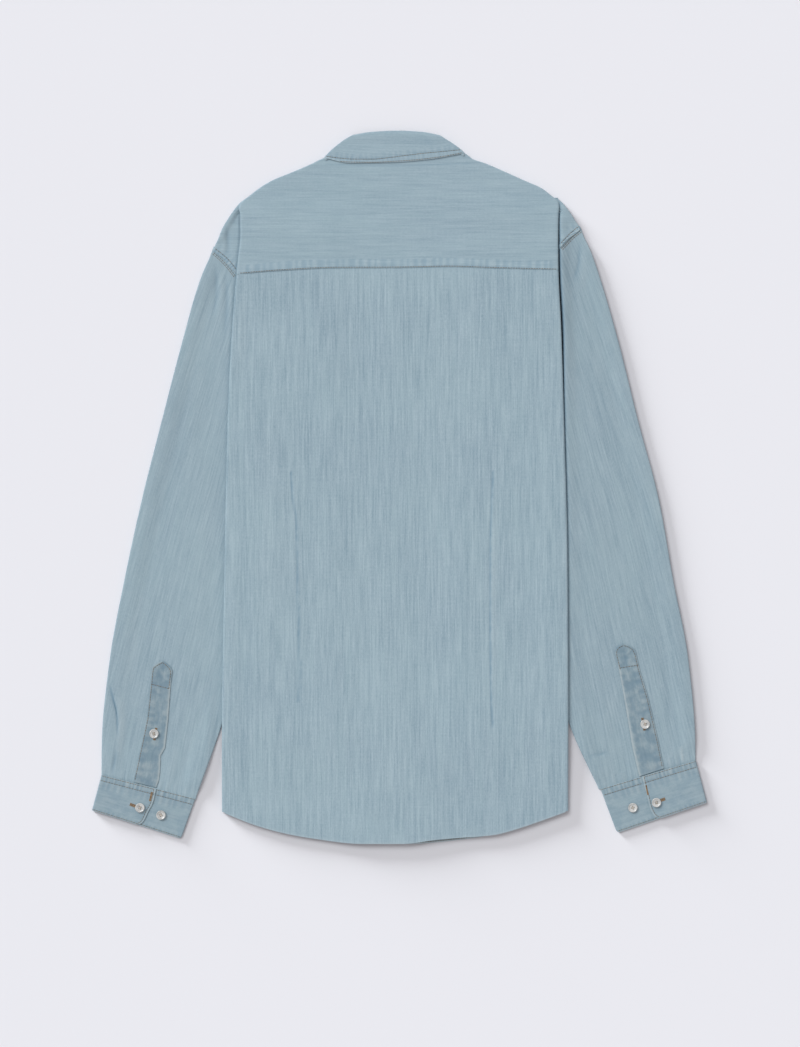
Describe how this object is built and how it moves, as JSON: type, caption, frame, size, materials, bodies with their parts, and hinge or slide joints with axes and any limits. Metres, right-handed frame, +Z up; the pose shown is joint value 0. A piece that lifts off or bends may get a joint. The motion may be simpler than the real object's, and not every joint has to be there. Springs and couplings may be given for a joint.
{
  "type": "denim shirt",
  "caption": "Men's long-sleeved light-wash denim shirt laid flat, back up, with both sides of the body tucked under and the sleeves beside it.",
  "frame": {"origin": "centre of the shirt's bounding box, on the surface it lies on", "axes": "+Y from the hem towards the collar, +X towards the wearer's right sleeve as seen from the back, +Z up through the cloth, out of the back"},
  "size_m": [0.7066, 0.8208, 0.0082],
  "materials": {
    "denim": "light-wash cotton chambray, matt",
    "button": "pearl white, satin"
  },
  "bodies": {
    "root": {"back": "denim", "yoke": "denim", "front_left": "denim", "front_right": "denim", "collar_leaf": "denim", "collar_stand": "denim", "sleeve_left": "denim", "sleeve_right": "denim", "cuff_left": "denim", "cuff_right": "denim", "sleeve_placket_left": "denim", "sleeve_placket_right": "denim", "front_button_1": "button", "front_button_2": "button", "front_button_3": "button", "front_button_4": "button", "front_button_5": "button", "front_button_6": "button", "front_button_7": "button", "stand_button": "button", "cuff_button_left_1": "button", "cuff_button_left_2": "button", "placket_button_left": "button", "cuff_button_right_1": "button", "cuff_button_right_2": "button", "placket_button_right": "button"}
  },
  "joints": []
}
